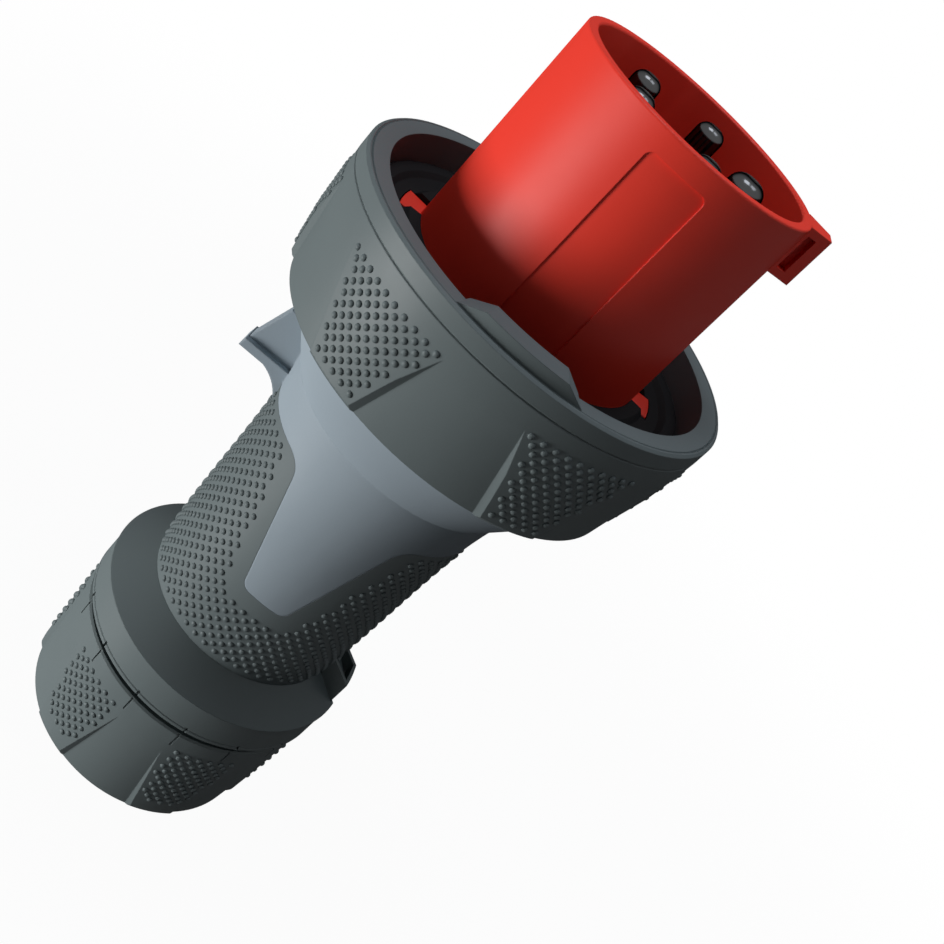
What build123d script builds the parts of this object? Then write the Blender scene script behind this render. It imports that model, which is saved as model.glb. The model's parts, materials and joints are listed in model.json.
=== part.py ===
# Five-pole industrial power plug with a bayonet locking ring, for a three-phase supply with
# neutral and earth. All lengths are in millimetres and all angles in degrees.
# The plug's axis is Z. The pins point along +Z, the cable leaves along -Z, and the origin is
# the centre of the gland nut's rear face. The earth pin, the key and the latch are at -Y.
import os
from math import asin, cos, degrees, radians, sin, tan

from build123d import *

os.makedirs("parts", exist_ok=True)

# Clearances, and how far a cutter reaches past a face
push_fit = 0.05
running_gap = 0.3
thread_fit = 0.08
past = 1.0

# Lengths along the axis, stacked from the rear face to the shroud's rim
nut_length = 38.0
nut_seam = 2.0
collar_band = 11.5
collar_cone = 7.7
grip_length = 66.3
neck_length = 13.0
shoulder_length = 21.5
drum_length = 16.5
flange_groove = 4.0
carrier_flange = 3.5
shroud_reach = 66.0
waist_rear_length = 20.0
waist_front_length = 40.0
neck_inset = 6.5

collar_rear = nut_length + nut_seam
collar_shoulder = collar_rear + collar_band
grip_rear = collar_shoulder + collar_cone
grip_front = grip_rear + grip_length
crease = grip_front + neck_length
drum_rear = crease + shoulder_length
drum_front = drum_rear + drum_length
flange_rear = drum_front + flange_groove
flange_front = flange_rear + carrier_flange
rim = flange_front + shroud_reach

# Red shroud, and the contact carrier that is set into it
shroud_radius = 35.5
flange_width = 14.7
skirt_inset = 1.5
shroud_wall = 3.0
shroud_depth = 53.0
rim_round = 0.6
floor = rim - shroud_depth
flange_radius = shroud_radius + flange_width
skirt_radius = shroud_radius - skirt_inset
skirt_length = 8.5
carrier_seat_wall = 4.5
carrier_seat_depth = 8.0
skirt_rear = flange_rear - skirt_length
fixing_lug_reach = 6.0
fixing_lug_height = 3.2
fixing_lug_span = 16.0
fixing_lug_angles = (90.0, 270.0)
fixing_window_play = 2.0
panel_width = 16.7
panel_depth = 0.5
panel_top = 5.7
panel_length = 55.0
panel_corner = 2.0

# Key on the shroud
key_length = 14.5
key_height = 6.0
key_base_width = 11.6
key_top_width = 6.4
key_slot_inset = 2.2
key_slot_height = 2.5
key_slot_foot = 0.4

# Contacts
pin_circle = 18.5
pin_pitch = 72.0
earth_angle = -90.0
phase_pin_radius = 4.0
earth_pin_radius = 5.0
pilot_pin_radius = 3.0
pin_tip_inset = 2.0
pilot_tip_inset = 14.0
pin_tip_share = 0.7
pin_seat_extra = 0.6
pin_flange_extra = 3.2
pin_flange_length = 3.5
barrel_extra = 2.0
barrel_length = 22.5
wire_hole_depth = 16.0
wire_hole_wall = 2.2
terminal_screw_radius = 2.5
terminal_screw_head = 3.6
terminal_screw_inset = 7.0
terminal_screw_stand = 3.4
plate_thickness = 4.5
plate_radius = 30.0
plate_rim = 2.6
plate_screw_radius = 1.7
plate_screw_circle = 22.5
plate_screw_head = 3.0
plate_screw_length = 14.0
plate_screw_play = 1.0
plate_screw_angles = (90.0, 234.0, 306.0)

# Housing, its soft grip and the lug on top
housing_wall = 3.0
drum_proud = 0.3
hub_step = 5.3
drum_radius = flange_radius + drum_proud
hub_radius = drum_radius - hub_step
crease_radius = 36.0
neck_radius = 33.4
waist_radius = 32.5
belly_radius = 31.9
grip_rear_radius = 30.5
grip_thickness = 1.6
tail_length = 12.9
tail_groove_inset = 4.3
tail_radius = grip_rear_radius - grip_thickness
tongue_front_width = 35.0
tongue_rear_width = 14.0
tongue_length = 39.5
tongue_corner = 3.0
tongue_shoulder = 6.0
wing_plate_width = 9.0
wing_web_width = 5.2
wing_web_inset = 0.8
wing_web_drop = 5.2
wing_web_front = 5.0
wing_plate_front = 3.5
wing_plate_rear = 0.7
wing_plate_flat = 8.4
wing_plate_foot = 5.2
wing_plate_arc = 12.5
wing_plate_edge = 0.5
wing_tip_radius = 49.4
wing_front_rise = 8.2
wing_root_radius = 31.2

# Ring of screws that pull the carrier onto the housing
carrier_screw_count = 4
carrier_screw_inset = 5.2
carrier_screw_circle = hub_radius - carrier_screw_inset
carrier_screw_radius = 1.7
carrier_screw_head = 3.2
carrier_screw_head_height = 3.0
carrier_screw_bite = 3.0

# Sealing rings
seal_ring_section = 1.0
tail_ring_section = 0.9

# Bayonet ring
ring_length = 38.3
ring_overhang = 12.9
ring_middle_inset = 23.0
ring_gap = 0.7
ring_front_wall = 6.4
ring_mid_wall = 5.4
ring_rear_wall = 3.6
ring_bore = drum_radius + ring_gap
ring_front_radius = ring_bore + ring_front_wall
ring_mid_radius = ring_bore + ring_mid_wall
ring_rear_radius = ring_bore + ring_rear_wall
ring_edge = 0.7
ring_line_inset = 1.3
ring_line_width = 0.6
ring_line_depth = 0.5
ring_rear_round = 1.0
ring_flange_bore = hub_radius + running_gap
ring_seam_depth = 0.3
ring_seam_inset = 5.2
cam_rise = 3.5
cam_foot_span = 37.5
cam_top_span = 24.0
cam_lug_depth = 2.2
cam_lug_drop = 3.5
cam_count = 2
ring_turn = 60.0
stop_span = 12.0
stop_reach = 2.6
stop_play = 1.0

# Finger scoops between the raised pads of the ring and the nut
scoop_count = 6
scoop_reach = 6.0
scoop_lean = 48.0
ring_scoop_inset = 9.0
ring_scoop_depth = 1.6
ring_scoop_front_width = 22.5
ring_scoop_rear_width = 36.0
nut_scoop_inset = 5.5
nut_scoop_depth = 1.3
nut_scoop_front_width = 14.5
nut_scoop_rear_width = 23.0

# Gasket in front of the flange
gasket_thickness = 4.5
gasket_lip = 1.4
gasket_lip_width = 3.4

# Rear collar with the gland thread
collar_radius = 40.8
collar_step = 0.4
collar_edge = 0.5
bead_width = 1.4
bead_groove = 0.4
seam_radius = 36.2
notch_count = 15
notch_width = 0.7
notch_length = 2.3
notch_depth = 0.9
notch_start = 192.0
spigot_radius = 33.5
spigot_length = 24.0
gland_bore = 27.5

# Cable gland
nut_front_radius = 39.7
nut_rear_radius = 38.3
nut_rear_round = 2.2
nut_front_edge = 0.6
tick_length = 5.4
tick_width = 0.5
tick_depth = 0.4
nut_end_wall = 5.2
cable_bore = 18.5
seal_bore = 15.5
seal_length = 18.0
seal_groove_depth = 1.2
seal_groove_count = 3
cage_length = 12.0
cage_bore = 16.5
cage_nose = 2.0
cage_nose_length = 4.0
cage_slot_length = 8.4
cage_slot_width = 1.6
cage_slot_count = 8
thrust_ring_length = 3.7
thrust_ring_radius = 32.8
thrust_flange = 2.4
thrust_nose_gap = 1.0

# Latch
latch_width = 7.2
latch_inset = 7.3
latch_rear = collar_rear + latch_inset
latch_length = 18.1
latch_top_length = 10.0
latch_brow_inset = 4.6
latch_lip_inset = 0.6
latch_edge = 0.5
latch_top = 37.6
latch_floor = 31.7
latch_lip = 32.6
latch_brow = 34.0
pivot_radius = 1.25
pivot_height = 34.2
pivot_from_rear = 5.0
pivot_bite = 5.0
pocket_floor = 30.8
pocket_rear_gap = 0.5
grip_recess_floor = 28.4
hood_wall = 1.4
hood_half_width = latch_width / 2 + running_gap + hood_wall
hood_top = 39.6
hood_roof = 38.2
hood_reach = 8.0
hood_slant = 6.7
hood_window = 17.0
spring_wire = 0.35
spring_turns = 2.5
spring_slot = 3.8


def turn(points, mode=Mode.ADD):
    """Turn a closed outline of (radius, height) points about the plug's axis."""
    with BuildSketch(Plane.XZ) as profile:
        with BuildLine():
            Polyline(*points, close=True)
        make_face()
    revolve(profile.sketch, axis=Axis.Z, mode=mode)


def tube(inner, outer, low, high, mode=Mode.ADD):
    """Add or cut a plain tube between two heights."""
    turn([(inner, low), (outer, low), (outer, high), (inner, high)], mode)


def sector(inner, outer, middle, span, height):
    """Return the face of a ring's arc, centred on an angle, at a height."""
    start = middle - span / 2
    with BuildSketch(Plane.XY.offset(height)) as arc:
        with BuildLine():
            inside = CenterArc((0, 0), inner, start, span)
            outside = CenterArc((0, 0), outer, start, span)
            Line(inside @ 0, outside @ 0)
            Line(inside @ 1, outside @ 1)
        make_face()
    return arc.sketch


def at_angle(radius, angle):
    """Return the point at a radius and an angle about the axis."""
    return (radius * cos(radians(angle)), radius * sin(radians(angle)))


def rod(point, radius, low, high, mode=Mode.ADD):
    """Add or cut a round rod that is parallel to the axis."""
    with BuildSketch(Plane.XY.offset(low)) as disc:
        with Locations(point):
            Circle(radius)
    extrude(disc.sketch, amount=high - low, mode=mode)


def scoop_section(radius, width, height):
    """Return the face across a finger scoop at one height, with flanks that lean outwards."""
    outer = radius + scoop_reach
    foot = degrees(asin(width / 2 / radius))
    top = foot + degrees(scoop_reach * tan(radians(scoop_lean)) / outer)
    with BuildSketch(Plane.XY.offset(height)) as section:
        with BuildLine():
            inside = CenterArc((0, 0), radius, -foot, 2 * foot)
            outside = CenterArc((0, 0), outer, -top, 2 * top)
            Line(inside @ 0, outside @ 0)
            Line(inside @ 1, outside @ 1)
        make_face()
    return section.sketch


def make_scoop(front, rear, front_radius, rear_radius, front_width, rear_width):
    """Return the cutter of one finger scoop, which deepens from its front to its rear."""
    with BuildPart() as scoop:
        front_face = scoop_section(front_radius, front_width, front)
        rear_face = scoop_section(rear_radius, rear_width, rear)
        loft([rear_face.face(), front_face.face()], ruled=True)
    return scoop.part


# The handle's contour, from its rear end to the crease behind the shoulder
handle_line = [
    (grip_rear_radius, grip_rear),
    (belly_radius, grip_rear + waist_rear_length),
    (waist_radius, grip_rear + waist_front_length),
    (neck_radius, grip_front - neck_inset),
    (crease_radius, crease),
]


def handle_band(depth, height):
    """Turn the skin of the handle between two depths, and leave the two tongues out of it."""
    with BuildSketch(Plane.XZ) as profile:
        with BuildLine():
            inside = Spline(*[(radius - depth, z) for radius, z in handle_line])
            outside = Spline(*[(radius + height, z) for radius, z in handle_line])
            Line(inside @ 0, outside @ 0)
            Line(inside @ 1, outside @ 1)
        make_face()
        with Locations((waist_radius, (grip_rear + grip_front) / 2)):
            Rectangle(waist_radius, grip_length, mode=Mode.INTERSECT)
    revolve(profile.sketch, axis=Axis.Z)
    with BuildSketch(Plane.YZ) as tongue:
        with BuildLine():
            Polyline(
                (-neck_radius, grip_front + past),
                (neck_radius, grip_front + past),
                (neck_radius, grip_front),
                (tongue_front_width / 2, grip_front),
                (tongue_rear_width / 2, grip_front - tongue_length),
                (-tongue_rear_width / 2, grip_front - tongue_length),
                (-tongue_front_width / 2, grip_front),
                (-neck_radius, grip_front),
                close=True,
            )
        make_face()
        rows = tongue.vertices().group_by(Axis.Y)
        fillet(rows[1].sort_by(Axis.X)[1:3], radius=tongue_shoulder)
        fillet(tongue.vertices().group_by(Axis.Y)[0], radius=tongue_corner)
    extrude(tongue.sketch, amount=collar_radius, both=True, mode=Mode.SUBTRACT)


def wing(mode=Mode.ADD):
    """Add or cut the hooked lug on top of the housing."""
    plate_front = grip_front + wing_plate_front
    plate_rear_face = grip_front + wing_plate_rear
    front_foot = crease + wing_front_rise / 2
    with BuildSketch(Plane.YZ) as web:
        with BuildLine():
            Polyline(
                (wing_root_radius, grip_front),
                (wing_tip_radius - wing_web_inset, grip_front),
                (wing_tip_radius - wing_web_inset, plate_front),
                (wing_tip_radius - wing_web_drop, crease + wing_web_front),
                (crease_radius, front_foot),
                (wing_root_radius, crease),
                close=True,
            )
        make_face()
    extrude(web.sketch, amount=wing_web_width / 2, both=True, mode=mode)
    with BuildSketch(Plane.YZ) as plate:
        with BuildLine():
            foot = (neck_radius, grip_front - wing_plate_foot)
            flat_end = (wing_tip_radius - wing_plate_flat, plate_rear_face)
            underside = RadiusArc(foot, flat_end, wing_plate_arc)
            Polyline(
                underside @ 1,
                (wing_tip_radius, plate_rear_face),
                (wing_tip_radius - wing_plate_edge, plate_front),
                (wing_root_radius, plate_front),
                (wing_root_radius, foot[1]),
                underside @ 0,
            )
        make_face()
    extrude(plate.sketch, amount=wing_plate_width / 2, both=True, mode=mode)


def latch_space(half_width, floor_radius, low, high, top=collar_radius + past):
    """Cut a straight-sided space for the latch, from a floor outwards."""
    with BuildSketch(Plane.XY.offset(low)) as space:
        with Locations((0, -(floor_radius + top) / 2)):
            Rectangle(2 * half_width, top - floor_radius)
    extrude(space.sketch, amount=high - low, mode=Mode.SUBTRACT)


# Front shroud: sleeve, flange and key in one red moulding
pin_angles = {
    "pin_earth": earth_angle,
    "pin_l1": earth_angle + pin_pitch,
    "pin_l2": earth_angle + 2 * pin_pitch,
    "pin_l3": earth_angle + 3 * pin_pitch,
    "pin_neutral": earth_angle + 4 * pin_pitch,
}
pin_radii = {name: phase_pin_radius for name in pin_angles}
pin_radii["pin_earth"] = earth_pin_radius
screw_step = 360 / carrier_screw_count
carrier_screw_tip = flange_rear + carrier_screw_bite
plate_rear = skirt_rear - pin_flange_length - plate_thickness
seal_ring_radius = skirt_radius - seal_ring_section
carrier_groove = skirt_rear + skirt_length / 2
well_radius = shroud_radius - shroud_wall
seat_radius = skirt_radius - carrier_seat_wall
seat_front = floor - carrier_seat_depth

with BuildPart() as panel:
    tube(shroud_radius - panel_depth, shroud_radius + past, rim - panel_top - panel_length,
         rim - panel_top)
    with BuildSketch(Plane.YZ) as panel_face:
        with Locations((0, rim - panel_top - panel_length / 2)):
            RectangleRounded(panel_width, panel_length, panel_corner)
    extrude(panel_face.sketch, amount=-shroud_radius - past, mode=Mode.INTERSECT)

with BuildPart() as front_shroud:
    turn(
        [
            (seat_radius, skirt_rear),
            (skirt_radius, skirt_rear),
            (skirt_radius, flange_rear),
            (flange_radius, flange_rear),
            (flange_radius, flange_front),
            (shroud_radius, flange_front),
            (shroud_radius, rim),
            (well_radius, rim),
            (well_radius, seat_front),
            (seat_radius, seat_front),
        ]
    )
    fillet(front_shroud.edges().group_by(Axis.Z)[-1], radius=rim_round)
    with BuildSketch(Plane.XY.offset(rim - key_length)) as key_section:
        with BuildLine():
            Polyline(
                (-key_base_width / 2, rim_round - shroud_radius),
                (-key_top_width / 2, -shroud_radius - key_height),
                (key_top_width / 2, -shroud_radius - key_height),
                (key_base_width / 2, rim_round - shroud_radius),
                close=True,
            )
        make_face()
    extrude(amount=key_length)
    with BuildSketch(Plane.YZ):
        with Locations((-shroud_radius - key_slot_foot - key_slot_height / 2, rim - key_length / 2)):
            Rectangle(key_slot_height, key_length - 2 * key_slot_inset)
    extrude(amount=key_base_width, both=True, mode=Mode.SUBTRACT)
    for lug_angle in fixing_lug_angles:
        extrude(
            sector(shroud_radius - past, shroud_radius + fixing_lug_reach, lug_angle,
                   fixing_lug_span, flange_front),
            amount=fixing_lug_height,
        )
    for index in range(carrier_screw_count):
        rod(at_angle(carrier_screw_circle, screw_step * (index + 0.5)),
            carrier_screw_radius + push_fit, flange_rear, carrier_screw_tip, Mode.SUBTRACT)
    tube(seal_ring_radius - seal_ring_section - push_fit, skirt_radius + past,
         carrier_groove - seal_ring_section - push_fit,
         carrier_groove + seal_ring_section + push_fit, Mode.SUBTRACT)
    add(panel.part, mode=Mode.SUBTRACT)
front_shroud.part.label = "front_shroud"
export_step(front_shroud.part, "parts/front_shroud.step")

# Contact carrier: the insert at the bottom of the shroud, which seats on its inner step
with BuildPart() as contact_carrier:
    turn(
        [
            (0, skirt_rear),
            (seat_radius - push_fit, skirt_rear),
            (seat_radius - push_fit, seat_front),
            (well_radius - push_fit, seat_front),
            (well_radius - push_fit, floor),
            (0, floor),
        ]
    )
    for name, angle in pin_angles.items():
        rod(at_angle(pin_circle, angle), pin_radii[name] + pin_seat_extra + push_fit,
            skirt_rear, floor, Mode.SUBTRACT)
    rod((0, 0), pilot_pin_radius + pin_seat_extra + push_fit, skirt_rear, floor, Mode.SUBTRACT)
    for angle in plate_screw_angles:
        rod(at_angle(plate_screw_circle, angle), plate_screw_radius + push_fit, skirt_rear,
            plate_rear + plate_screw_length + plate_screw_play, Mode.SUBTRACT)
contact_carrier.part.label = "contact_carrier"
export_step(contact_carrier.part, "parts/contact_carrier.step")


# Contacts: each a domed pin with a flange and a wire barrel behind the carrier
def make_pin(point, radius, tip, screw_angle):
    """Return one contact, whose clamping screw enters from the side at an angle."""
    barrel_radius = radius + barrel_extra
    barrel_rear = skirt_rear - pin_flange_length - barrel_length
    with BuildPart() as pin:
        rod(point, radius, skirt_rear, tip)
        fillet(pin.edges().group_by(Axis.Z)[-1], radius=radius * pin_tip_share)
        rod(point, radius + pin_seat_extra, skirt_rear, floor)
        with Locations((*point, floor + pin_seat_extra / 2)):
            Cone(radius + pin_seat_extra, radius, pin_seat_extra)
        rod(point, radius + pin_flange_extra, skirt_rear - pin_flange_length, skirt_rear)
        rod(point, barrel_radius, barrel_rear, skirt_rear - pin_flange_length)
        rod(point, barrel_radius - wire_hole_wall, barrel_rear,
            barrel_rear + wire_hole_depth, Mode.SUBTRACT)
        if screw_angle is not None:
            side = (cos(radians(screw_angle)), sin(radians(screw_angle)), 0)
            centre = (point[0], point[1], barrel_rear + terminal_screw_inset)
            with BuildSketch(Plane(origin=centre, x_dir=(0, 0, 1), z_dir=side)):
                Circle(terminal_screw_radius + push_fit)
            extrude(amount=barrel_radius + past, mode=Mode.SUBTRACT)
    return pin.part


for name, angle in pin_angles.items():
    contact = make_pin(at_angle(pin_circle, angle), pin_radii[name], rim - pin_tip_inset, angle)
    contact.label = name
    export_step(contact, "parts/" + name + ".step")
pilot = make_pin((0, 0), pilot_pin_radius, rim - pilot_tip_inset, None)
pilot.label = "pin_pilot"
export_step(pilot, "parts/pin_pilot.step")

# Terminal screws, one in the side of each wire barrel
with BuildPart() as terminal_screws:
    screw_height = skirt_rear - pin_flange_length - barrel_length + terminal_screw_inset
    for name, angle in pin_angles.items():
        side = (cos(radians(angle)), sin(radians(angle)), 0)
        barrel_radius = pin_radii[name] + barrel_extra
        tip = at_angle(pin_circle + barrel_radius - wire_hole_wall, angle)
        seat = at_angle(pin_circle + barrel_radius + push_fit, angle)
        with BuildSketch(Plane(origin=(*tip, screw_height), x_dir=(0, 0, 1), z_dir=side)):
            Circle(terminal_screw_radius)
        extrude(amount=wire_hole_wall + push_fit)
        with BuildSketch(Plane(origin=(*seat, screw_height), x_dir=(0, 0, 1), z_dir=side)):
            Circle(terminal_screw_head)
        extrude(amount=terminal_screw_stand)
terminal_screws.part.label = "terminal_screws"
export_step(terminal_screws.part, "parts/terminal_screws.step")

# Terminal plate: holds the flanges of the contacts against the carrier
with BuildPart() as terminal_plate:
    tube(0, plate_radius, plate_rear, plate_rear + plate_thickness)
    tube(plate_radius - plate_rim, plate_radius, plate_rear, skirt_rear)
    for name, angle in pin_angles.items():
        rod(at_angle(pin_circle, angle), pin_radii[name] + barrel_extra + push_fit, plate_rear,
            skirt_rear, Mode.SUBTRACT)
    rod((0, 0), pilot_pin_radius + barrel_extra + push_fit, plate_rear, skirt_rear,
        Mode.SUBTRACT)
    for angle in plate_screw_angles:
        rod(at_angle(plate_screw_circle, angle), plate_screw_radius + running_gap, plate_rear,
            skirt_rear, Mode.SUBTRACT)
terminal_plate.part.label = "terminal_plate"
export_step(terminal_plate.part, "parts/terminal_plate.step")

with BuildPart() as plate_screws:
    for angle in plate_screw_angles:
        point = at_angle(plate_screw_circle, angle)
        rod(point, plate_screw_head, plate_rear - plate_screw_head, plate_rear)
        rod(point, plate_screw_radius, plate_rear, plate_rear + plate_screw_length)
plate_screws.part.label = "plate_screws"
export_step(plate_screws.part, "parts/plate_screws.step")

# Black gasket that the mating connector's rim presses on
with BuildPart() as front_gasket:
    gasket_outer = flange_radius - running_gap
    gasket_inner = shroud_radius + push_fit
    gasket_front = flange_front + gasket_thickness
    turn(
        [
            (gasket_inner, flange_front),
            (gasket_outer, flange_front),
            (gasket_outer, gasket_front),
            (gasket_outer - gasket_lip_width, gasket_front),
            (gasket_outer - gasket_lip_width - gasket_lip, gasket_front - gasket_lip),
            (gasket_inner + gasket_lip_width + gasket_lip, gasket_front - gasket_lip),
            (gasket_inner + gasket_lip_width, gasket_front),
            (gasket_inner, gasket_front),
        ]
    )
    for lug_angle in fixing_lug_angles:
        extrude(
            sector(shroud_radius - past, shroud_radius + fixing_lug_reach + running_gap,
                   lug_angle, fixing_lug_span + fixing_window_play, flange_front),
            amount=gasket_thickness,
            mode=Mode.SUBTRACT,
        )
front_gasket.part.label = "front_gasket"
export_step(front_gasket.part, "parts/front_gasket.step")

with BuildPart() as carrier_seal_ring:
    with BuildSketch(Plane.XZ):
        with Locations((seal_ring_radius, carrier_groove)):
            Circle(seal_ring_section)
    revolve(axis=Axis.Z)
carrier_seal_ring.part.label = "carrier_seal_ring"
export_step(carrier_seal_ring.part, "parts/carrier_seal_ring.step")

# Soft grip, moulded round the handle with a notch for each tongue
hood_front = grip_rear + hood_reach

with BuildPart() as soft_grip:
    handle_band(grip_thickness, 0)
    wing(Mode.SUBTRACT)
    latch_space(hood_half_width + running_gap, grip_recess_floor, grip_rear,
                hood_front + running_gap)
soft_grip.part.label = "soft_grip"
export_step(soft_grip.part, "parts/soft_grip.step")

# Housing: drum, shoulder, handle and tail in one light-grey moulding
with BuildPart() as grip_cutter:
    handle_band(grip_thickness, grip_thickness)

hub_bore = skirt_radius + push_fit
tail_rear = grip_rear - tail_length
tail_groove = tail_rear + tail_groove_inset
stop_middle = 90.0

with BuildPart() as housing_body:
    with BuildSketch(Plane.XZ) as housing_profile:
        with BuildLine():
            outside = Spline(*handle_line)
            Polyline(
                outside @ 1,
                (drum_radius, drum_rear),
                (drum_radius, drum_front),
                (hub_radius, drum_front),
                (hub_radius, flange_rear),
                (hub_bore, flange_rear),
                (hub_bore, skirt_rear),
                (drum_radius - housing_wall, skirt_rear),
                (drum_radius - housing_wall, drum_rear),
                (crease_radius - housing_wall, crease),
            )
            inside = Spline(
                *[(r - grip_thickness - housing_wall, z) for r, z in reversed(handle_line)]
            )
            Line((crease_radius - housing_wall, crease), inside @ 0)
            Line(inside @ 1, outside @ 0)
        make_face()
    revolve(axis=Axis.Z)
    add(grip_cutter.part, mode=Mode.SUBTRACT)
    tube(tail_radius - housing_wall, tail_radius, tail_rear, grip_rear)
    tube(tail_radius - 2 * tail_ring_section - push_fit, tail_radius + past,
         tail_groove - tail_ring_section - push_fit,
         tail_groove + tail_ring_section + push_fit, Mode.SUBTRACT)
    wing()
    latch_space(hood_half_width + running_gap, grip_recess_floor, grip_rear,
                hood_front + running_gap)
    for index in range(carrier_screw_count):
        rod(at_angle(carrier_screw_circle, screw_step * (index + 0.5)),
            carrier_screw_radius + running_gap, skirt_rear, flange_rear, Mode.SUBTRACT)
    extrude(
        sector(hub_radius - past, hub_radius + stop_reach, stop_middle, stop_span, drum_front),
        amount=flange_groove,
    )
housing_body.part.label = "housing_body"
export_step(housing_body.part, "parts/housing_body.step")

with BuildPart() as carrier_screws:
    for index in range(carrier_screw_count):
        point = at_angle(carrier_screw_circle, screw_step * (index + 0.5))
        rod(point, carrier_screw_head, skirt_rear - carrier_screw_head_height, skirt_rear)
        rod(point, carrier_screw_radius, skirt_rear, carrier_screw_tip)
carrier_screws.part.label = "carrier_screws"
export_step(carrier_screws.part, "parts/carrier_screws.step")

# Bayonet ring: turns on the housing's hub, trapped behind the carrier's flange
ring_front = flange_front + ring_overhang
ring_rear = ring_front - ring_length
ring_middle = ring_front - ring_middle_inset
seam = ring_front - ring_seam_inset
ring_face_radius = ring_front_radius - ring_line_inset - ring_line_width / 2
ring_scoop = make_scoop(
    ring_front - ring_scoop_inset,
    ring_rear,
    ring_front_radius,
    ring_rear_radius - ring_scoop_depth,
    ring_scoop_front_width,
    ring_scoop_rear_width,
)

with BuildPart() as bayonet_ring:
    turn(
        [
            (ring_bore, ring_front),
            (ring_face_radius, ring_front),
            (ring_face_radius + ring_line_width / 2, ring_front - ring_line_depth),
            (ring_face_radius + ring_line_width, ring_front),
            (ring_front_radius - ring_edge, ring_front),
            (ring_front_radius, ring_front - ring_edge),
            (ring_front_radius, seam + ring_seam_depth),
            (ring_front_radius - ring_seam_depth, seam),
            (ring_front_radius, seam - ring_seam_depth),
            (ring_mid_radius, ring_middle),
            (ring_rear_radius, ring_rear + ring_rear_round),
            (ring_rear_radius - ring_rear_round, ring_rear),
            (ring_bore, ring_rear),
            (ring_bore, drum_front + running_gap),
            (ring_flange_bore, drum_front + running_gap),
            (ring_flange_bore, flange_rear - running_gap),
            (ring_bore, flange_rear - running_gap),
        ]
    )
    with PolarLocations(0, scoop_count):
        add(ring_scoop, mode=Mode.SUBTRACT)
    for index in range(cam_count):
        middle = 180 + 360 * index / cam_count
        foot = sector(ring_bore - cam_lug_depth, ring_face_radius, middle, cam_foot_span,
                      ring_front)
        top = sector(ring_bore - cam_lug_depth, ring_face_radius, middle, cam_top_span,
                     ring_front + cam_rise)
        loft([foot.face(), top.face()])
        extrude(
            sector(ring_bore - cam_lug_depth, ring_bore + past, middle, cam_foot_span, ring_front),
            amount=-cam_lug_drop,
        )
    extrude(
        sector(ring_flange_bore - past, hub_radius + stop_reach + running_gap,
               stop_middle - ring_turn / 2, ring_turn + stop_span + 2 * stop_play, drum_front),
        amount=flange_groove,
        mode=Mode.SUBTRACT,
    )
bayonet_ring.part.label = "bayonet_ring"
export_step(bayonet_ring.part, "parts/bayonet_ring.step")

# Rear collar: joins the handle to the gland and carries the gland's thread
collar_bore = tail_radius + push_fit
spigot_rear = collar_rear - nut_seam + running_gap - spigot_length
seal_rear = collar_rear - seal_length
pocket_rear = latch_rear - pocket_rear_gap
pocket_half_width = latch_width / 2 + running_gap
pivot_length = 2 * (pocket_half_width + pivot_bite)
collar_side = collar_radius - collar_step
pivot_z = latch_rear + pivot_from_rear
pivot_plane = Plane(origin=(0, -pivot_height, pivot_z), x_dir=(0, 1, 0), z_dir=(1, 0, 0))

with BuildPart() as latch_hood:
    with BuildSketch(Plane.YZ):
        with BuildLine():
            Polyline(
                (-pocket_floor, collar_shoulder),
                (-hood_top, collar_shoulder),
                (-hood_top, hood_front - hood_slant),
                (-grip_recess_floor - running_gap, hood_front),
                (-grip_recess_floor - running_gap, grip_rear),
                (-pocket_floor, grip_rear),
                close=True,
            )
        make_face()
    extrude(amount=hood_half_width, both=True)
    tube(0, hood_top, collar_shoulder, hood_front, Mode.INTERSECT)

with BuildPart() as rear_collar:
    turn(
        [
            (gland_bore, spigot_rear),
            (spigot_radius, spigot_rear),
            (spigot_radius, nut_length + running_gap),
            (seam_radius, nut_length + running_gap),
            (seam_radius, collar_rear),
            (collar_side - collar_edge, collar_rear),
            (collar_side, collar_rear + collar_edge),
            (collar_side, collar_rear + bead_width),
            (collar_side - bead_groove, collar_rear + bead_width + bead_groove),
            (collar_side, collar_rear + bead_width + 3 * bead_groove / 2),
            (collar_side, collar_shoulder - collar_step),
            (collar_radius, collar_shoulder),
            (grip_rear_radius, grip_rear),
            (collar_bore, grip_rear),
            (collar_bore, tail_rear),
            (tail_radius - housing_wall, tail_rear),
            (tail_radius - housing_wall, collar_rear),
            (gland_bore, collar_rear),
        ]
    )
    with BuildSketch(Plane.XY.offset(collar_rear)):
        with PolarLocations(collar_side, notch_count, start_angle=notch_start):
            Rectangle(2 * notch_depth, notch_width)
    extrude(amount=notch_length, mode=Mode.SUBTRACT)
    add(latch_hood.part)
    latch_space(pocket_half_width, pocket_floor, pocket_rear, collar_rear + hood_window)
    latch_space(pocket_half_width, pocket_floor, pocket_rear, grip_rear, hood_roof)
    latch_space(pocket_half_width, grip_recess_floor, grip_rear, hood_front + past, hood_roof)
    with BuildSketch(pivot_plane):
        Circle(pivot_radius + push_fit)
    extrude(amount=pivot_length / 2 + push_fit, both=True, mode=Mode.SUBTRACT)
rear_collar.part.label = "rear_collar"
export_step(rear_collar.part, "parts/rear_collar.step")

with BuildPart() as collar_seal_ring:
    with BuildSketch(Plane.XZ):
        with Locations((tail_radius - tail_ring_section, tail_groove)):
            Circle(tail_ring_section)
    revolve(axis=Axis.Z)
collar_seal_ring.part.label = "collar_seal_ring"
export_step(collar_seal_ring.part, "parts/collar_seal_ring.step")

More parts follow.
